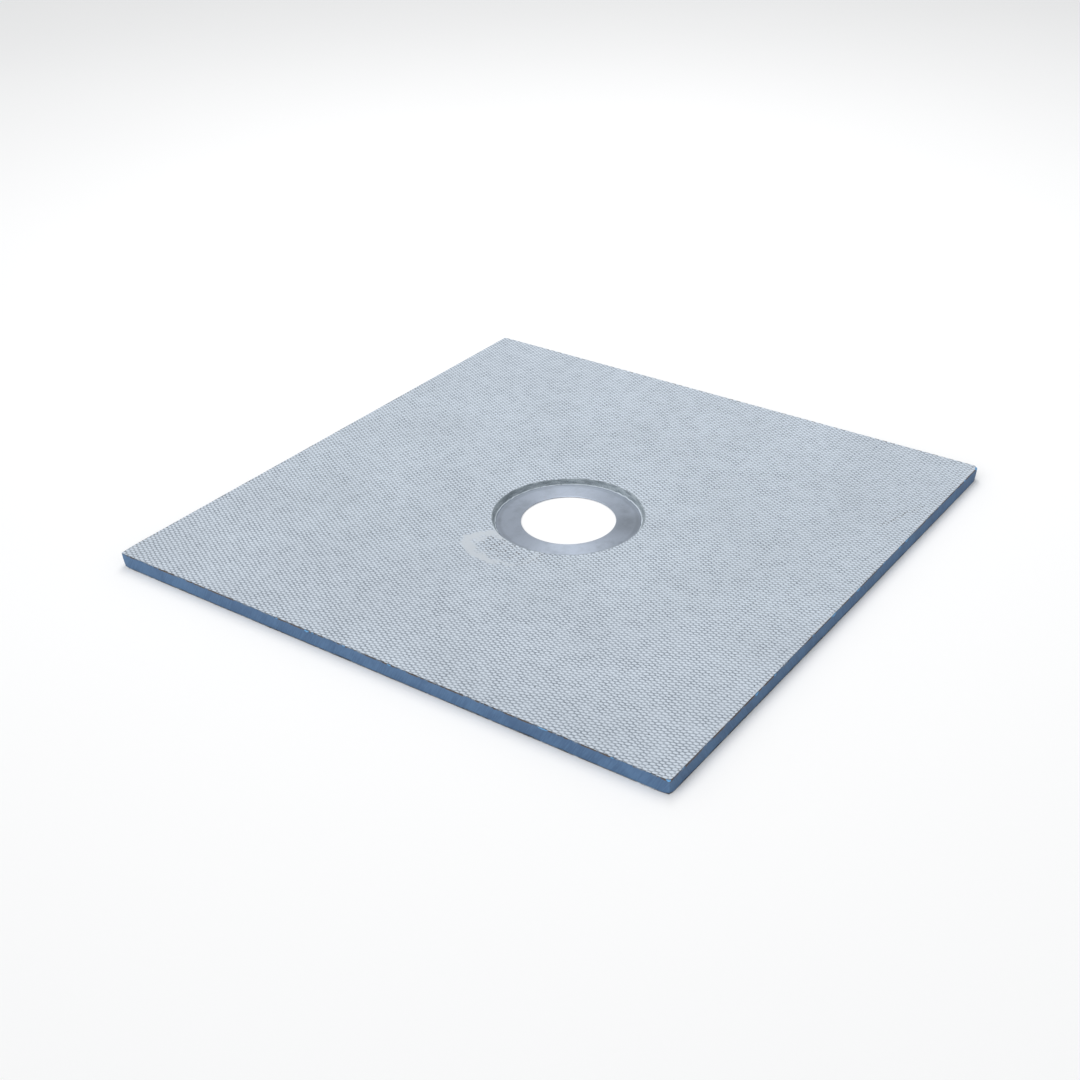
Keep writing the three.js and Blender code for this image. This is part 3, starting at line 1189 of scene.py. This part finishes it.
    def flat_underside(self, outline, low_edge, low_start, back, back_start):
        """Faces of the facing's underside, creased along the board's diagonals."""
        corners = np.argsort(-np.abs(outline.outward[:, 0] * outline.outward[:, 1]))[:4]
        ties = []
        for corner in corners:
            x, y = outline.points[corner]
            eighths = int(round(math.atan2(y, x) / (math.pi / 4))) % 8
            ties.append((int(corner), eighths * (len(back) // 8)))
        _, under = fill_between(low_edge, back, None, ties)
        count = len(low_edge)
        return np.where(under < count, under + low_start, under - count + back_start)


class BOARD_OT_recess_bead(bpy.types.Operator):
    """Uneven cement bead where the recess wall meets the seat ring"""

    bl_idname = "board.recess_bead"
    bl_label = "Recess Bead"

    COUNT = 540
    # Across the bead in widths and heights of it, from the wall round to the wall
    PROFILE = ((0.55, -0.1), (0.0, -0.1), (-0.5, 0.0), (-0.42, 0.4), (-0.15, 0.78), (0.2, 1.0),
               (0.55, 1.15))

    def execute(self, context):
        sizes = settings().sizes
        turns = full_turn(self.COUNT)
        around = turns * sizes.recess_radius
        swell = 1 + 0.22 * ripple(around, 0, 0.009, 41) + 0.12 * ripple(around, 0, 0.05, 42)
        rings = []
        for out, up in self.PROFILE:
            height = RING_TOP + up * sizes.bead_height * np.clip(swell, 0.4, 1.6)
            sway = 1 + 0.3 * ripple(around, 0, 0.013, 43) if out < 0 else 1.0
            spread = sizes.recess_radius + out * sizes.bead_width * sway
            rings.append(raised(circle(turns, spread), np.maximum(height, RING_TOP - 0.05 * MM)))
        piece = rings_object("recess_bead", rings, bead_finish(settings().colours))
        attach(piece, "root")
        return {"FINISHED"}


class BOARD_OT_seat_ring(bpy.types.Operator):
    """Thin turned seat ring on the recess floor"""

    bl_idname = "board.seat_ring"
    bl_label = "Seat Ring"

    COUNT = 360
    ROWS = 20
    EDGE = 0.00012
    # Dents: direction in degrees, distance out, width, depth
    DENTS = ((64.0, 0.092, 0.011, 0.00016), (40.0, 0.089, 0.008, 0.00012), (196.0, 0.090, 0.013, 0.00010))

    def execute(self, context):
        sizes = settings().sizes
        turns = full_turn(self.COUNT)
        bore = circle(turns, sizes.hole_radius)
        rim = circle(turns, RING_RADIUS)
        width = RING_RADIUS - sizes.hole_radius
        rings = [raised(bore, RING_LOW), raised(bore, RING_TOP - self.EDGE)]
        for out in (self.EDGE, *(width * k / self.ROWS for k in range(1, self.ROWS))):
            rings.append(self.top_ring(turns, sizes.hole_radius + out))
        rings += [raised(rim, RING_TOP - self.EDGE), raised(rim, RING_LOW)]
        piece = rings_object("drain_seat_ring_turned", rings, ring_finish(settings().colours))
        give(piece, "drain_seat_ring")
        return {"FINISHED"}

    def top_ring(self, turns, radius):
        """One ring of the upper face, sunk a little where it is dented."""
        flat = circle(turns, radius)
        x, y = flat.T
        sink = 0.05 * MM * (1 + ripple(x, y, 0.06, 51))
        for heading, reach, size, deep in self.DENTS:
            cx = reach * math.cos(math.radians(heading))
            cy = reach * math.sin(math.radians(heading))
            sink = sink + deep * np.exp(-((x - cx) ** 2 + (y - cy) ** 2) / (2 * (size / 2) ** 2))
        return raised(flat, RING_TOP - np.clip(sink, 0, 0.4 * MM))


class BOARD_OT_underside_facing(bpy.types.Operator):
    """Underside facing with the same relief, pressed the other way up"""

    bl_idname = "board.underside_facing"
    bl_label = "Underside Facing"

    STEP = 0.0018
    HOLE_COUNT = 240
    EDGE_CLEAR = 0.0007

    def execute(self, context):
        sizes = settings().sizes
        relief = settings().relief
        colours = settings().colours
        comb = Honeycomb(relief)
        outline = Outline(self.STEP, 1.0 * MM)
        edge_x, edge_y = outline.points.T
        frayed = 0.4 * MM * (1 - comb.dome(edge_x, edge_y))
        frayed += 2.4 * MM * corner_wear(outline.points)
        frayed += 0.3 * MM * np.clip(ripple(edge_x, edge_y, 0.02, 61), 0, 2)
        edge = outline.pulled_in(0.1 * MM + frayed + bottom_break(outline.points, BREAK_SEED))
        hole_radius = sizes.hole_radius + sizes.hole_margin
        hole = circle(full_turn(self.HOLE_COUNT), hole_radius)
        x, y = comb.places(HALF_LENGTH, HALF_WIDTH)
        clear = np.hypot(x, y) > hole_radius + 1.2 * MM
        clear &= outline.room_inside(edge, x, y) > self.EDGE_CLEAR
        flat, faces = fill_between(edge, hole, np.column_stack((x[clear], y[clear])))
        x, y = flat.T
        rise = 0.8 * relief.depth * (1 - comb.dome(x, y)) * (0.86 + 0.14 * ripple(x, y, 0.011, 62))
        upper_flat, upper_faces = fill_between(edge, hole)
        shell = Shell()
        shell.row(raised(flat, cad_low[2] + np.clip(rise, 0, 0.6 * MM)))
        start = shell.row(raised(upper_flat, CORE_LOW))
        shell.fill(faces[:, ::-1], RELIEF)
        shell.fill(upper_faces + start, CUT_EDGE)
        shell.fill(band_faces(0, start, len(edge)), CUT_EDGE)
        shell.fill(band_faces(len(edge), start + len(edge), self.HOLE_COUNT), CUT_EDGE)
        # Painted shade for the underside's grooves: its own cement colour darkened.
        dark = tuple(0.55 * c for c in colours.underside)
        finishes = [cement_relief_finish("underside_relief", colours, relief, colours.underside, dark),
                    facing_edge_finish("underside_cut_edge", colours)]
        piece = shell.relief_object("underside_facing_relief", comb, finishes)
        give(piece, "underside_facing")
        return {"FINISHED"}


class BoardSettings(bpy.types.PropertyGroup):
    """All settings of the board."""

    sizes: bpy.props.PointerProperty(type=BoardSizes, name="Sizes")
    relief: bpy.props.PointerProperty(type=ReliefSizes, name="Relief")
    colours: bpy.props.PointerProperty(type=FinishColours, name="Colours")
    stage: bpy.props.PointerProperty(type=StageSettings, name="Stage")


PIECES = (BOARD_OT_foam_core, BOARD_OT_top_facing, BOARD_OT_recess_bead, BOARD_OT_seat_ring,
          BOARD_OT_underside_facing)


class BOARD_PT_panel(bpy.types.Panel):
    """Builds the board piece by piece"""

    bl_idname = "BOARD_PT_panel"
    bl_label = "Underlay Board"
    bl_space_type = "VIEW_3D"
    bl_region_type = "UI"
    bl_category = "Underlay Board"

    def draw(self, context):
        board = context.scene.underlay_board
        for group in (board.sizes, board.relief, board.colours, board.stage):
            box = self.layout.box()
            for name in group.bl_rna.properties.keys():
                if name not in {"rna_type", "name"}:
                    box.prop(group, name)
        self.layout.operator(BOARD_OT_stage.bl_idname)
        for piece in PIECES:
            self.layout.operator(piece.bl_idname)


CLASSES = (BoardSizes, ReliefSizes, FinishColours, StageSettings, BoardSettings, BOARD_OT_stage, *PIECES,
           BOARD_PT_panel)


def register():
    for cls in CLASSES:
        bpy.utils.register_class(cls)
    bpy.types.Scene.underlay_board = bpy.props.PointerProperty(type=BoardSettings, name="Underlay Board")


def unregister():
    del bpy.types.Scene.underlay_board
    for cls in reversed(CLASSES):
        bpy.utils.unregister_class(cls)


def main():
    register()
    bpy.ops.board.stage()
    bpy.ops.board.foam_core()
    bpy.ops.board.top_facing()
    bpy.ops.board.recess_bead()
    bpy.ops.board.seat_ring()
    bpy.ops.board.underside_facing()


if __name__ == "__main__":
    main()
